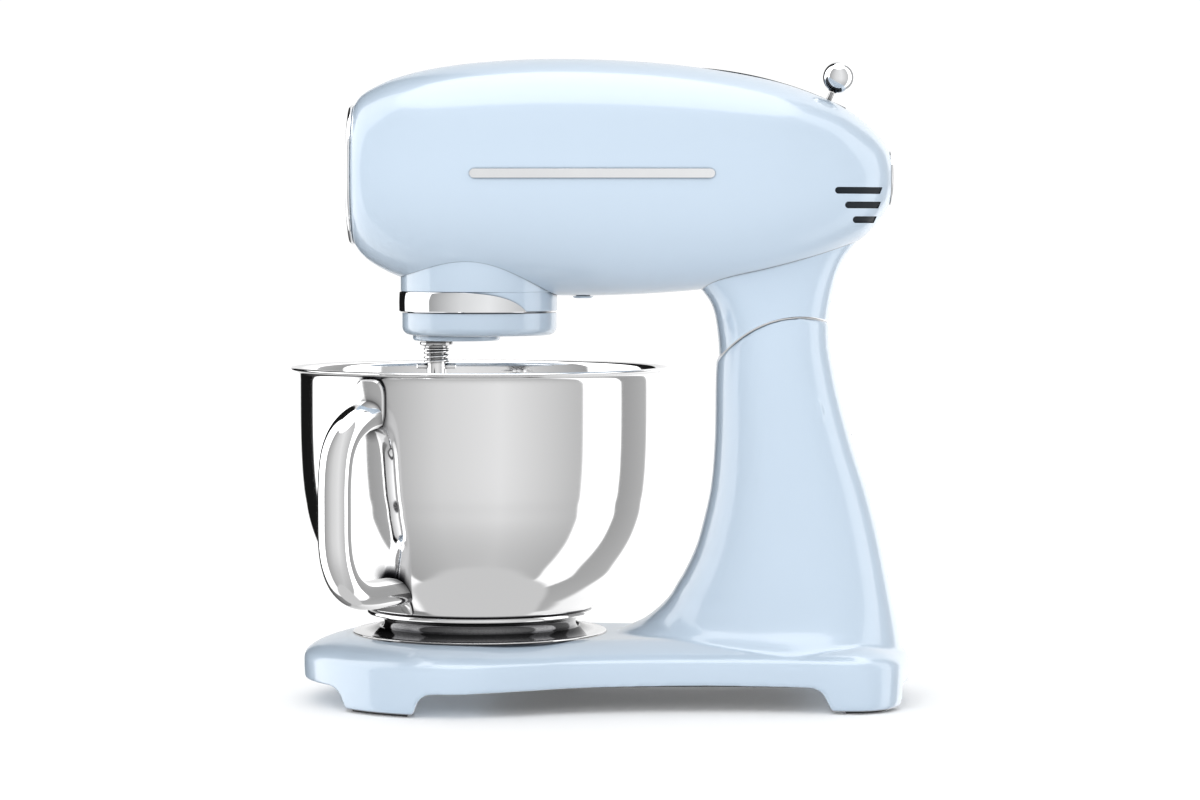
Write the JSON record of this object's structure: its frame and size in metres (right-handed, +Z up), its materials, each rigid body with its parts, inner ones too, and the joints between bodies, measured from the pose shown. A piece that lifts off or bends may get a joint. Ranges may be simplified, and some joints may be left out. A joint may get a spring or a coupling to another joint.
{
  "type": "tilt-head stand mixer",
  "caption": "Tilt-head planetary stand mixer with a rounded enamelled head and stand, a polished steel bowl with a loop handle, and a ball-tipped speed lever.",
  "frame": {"origin": "on the worktop, under the centre of the mixer's bounding box", "axes": "+Z up; -X is the nose, with the beater and bowl; +X is the rear, with the column and cord gland; -Y is the side of the bowl handle"},
  "size_m": [0.3646, 0.2382, 0.3782],
  "materials": {
    "paint": "gloss pastel blue enamel",
    "chrome": "polished chrome plate",
    "polished_steel": "mirror-polished stainless steel",
    "dark_plastic": "satin blue-black plastic",
    "rubber": "matt rubber",
    "aluminium": "as-cast satin",
    "gear_steel": "oiled machined steel",
    "nylon": "natural nylon",
    "copper": "enamelled copper",
    "board": "green circuit board"
  },
  "bodies": {
    "stand": {"stand_casting": "paint", "base_plate": "dark_plastic", "foot_front_left": "rubber", "foot_front_right": "rubber", "foot_rear_left": "rubber", "foot_rear_right": "rubber", "hinge_pin": "gear_steel", "control_board": "board", "cord_gland": "rubber", "latch_spring": "gear_steel", "seat_ring": "polished_steel", "seat_screw_1": "polished_steel", "seat_screw_2": "polished_steel", "seat_screw_3": "polished_steel"},
    "button": {"release_button": "chrome"},
    "latch": {"latch_bolt": "gear_steel"},
    "bowl": {"bowl_shell": "polished_steel", "bowl_foot": "polished_steel", "bowl_handle": "polished_steel"},
    "head": {"head_shell": "paint", "vent_grille_left": "dark_plastic", "vent_grille_right": "dark_plastic", "side_trim_left": "chrome", "side_trim_right": "chrome", "speed_strip": "dark_plastic", "belly_plug": "paint", "nose_ring": "chrome", "rear_cap": "chrome", "pto_bearing": "gear_steel", "planetary_housing": "paint", "chrome_band": "chrome", "ring_gear": "gear_steel", "spindle_bearing": "gear_steel", "layshaft_bearing": "gear_steel", "drive_belt": "rubber", "gearbox_frame": "aluminium", "motor_stator": "gear_steel", "field_coil_left": "copper", "field_coil_right": "copper", "neck_casting": "paint"},
    "carrier": {"planet_carrier": "paint", "centre_shaft": "gear_steel", "carrier_gear": "nylon", "pto_drive_bevel": "gear_steel"},
    "beater": {"beater_shaft": "polished_steel", "planet_pinion": "gear_steel", "beater_spring": "polished_steel"},
    "countershaft": {"layshaft": "gear_steel", "layshaft_pulley": "aluminium"},
    "rotor": {"motor_shaft": "gear_steel", "motor_pulley": "gear_steel", "armature": "gear_steel", "commutator": "copper", "cooling_fan": "dark_plastic"},
    "take_off": {"pto_shaft": "gear_steel", "pto_socket": "gear_steel"},
    "lever": {"lever_stem": "polished_steel", "lever_ball": "chrome", "lever_carriage": "dark_plastic"},
    "cap": {"nose_cap": "chrome"}
  },
  "joints": [
    {"name": "head_tilt", "type": "hinge", "parent": "stand", "child": "head", "pos_m": [0.11709, 0.00777, 0.17], "axis": [0, 1, 0], "range_deg": [0, 35]},
    {"name": "bowl_lift", "type": "slide", "parent": "stand", "child": "bowl", "axis": [0, 0, 1], "range_m": [0, 0.034]},
    {"name": "button_press", "type": "slide", "parent": "stand", "child": "button", "axis": [-1, 0, 0], "range_m": [0, 0.005], "stiffness_N_per_m": 500},
    {"name": "latch_release", "type": "slide", "parent": "stand", "child": "latch", "axis": [0, 0, -1], "range_m": [0, 0.005]},
    {"name": "speed_lever", "type": "hinge", "parent": "head", "child": "lever", "pos_m": [0.04189, 0.00777, 0.1424], "axis": [0, -1, 0], "range_deg": [0, 19.5]},
    {"name": "planetary_spin", "type": "hinge", "parent": "head", "child": "carrier", "pos_m": [-0.07101, 0.00777, 0.222], "axis": [0, 0, 1], "continuous": true},
    {"name": "beater_spin", "type": "hinge", "parent": "carrier", "child": "beater", "pos_m": [-0.09651, 0.00777, 0.222], "axis": [0, 0, 1], "continuous": true},
    {"name": "layshaft_spin", "type": "hinge", "parent": "head", "child": "countershaft", "pos_m": [-0.02101, 0.00777, 0.28], "axis": [0, 0, 1], "continuous": true},
    {"name": "motor_spin", "type": "hinge", "parent": "head", "child": "rotor", "pos_m": [0.07229, 0.00777, 0.3], "axis": [0, 0, 1], "continuous": true},
    {"name": "take_off_spin", "type": "hinge", "parent": "head", "child": "take_off", "pos_m": [-0.10971, 0.00777, 0.31], "axis": [-1, 0, 0], "continuous": true},
    {"name": "nose_cap_pull", "type": "slide", "parent": "head", "child": "cap", "axis": [-1, 0, 0], "range_m": [0, 0.025]}
  ],
  "couplings": [
    {"joint": "latch_release", "follows": "button_press", "ratio": 1},
    {"joint": "beater_spin", "follows": "planetary_spin", "ratio": -3.4286},
    {"joint": "layshaft_spin", "follows": "planetary_spin", "ratio": -4},
    {"joint": "motor_spin", "follows": "planetary_spin", "ratio": -20},
    {"joint": "take_off_spin", "follows": "planetary_spin", "ratio": 1}
  ]
}
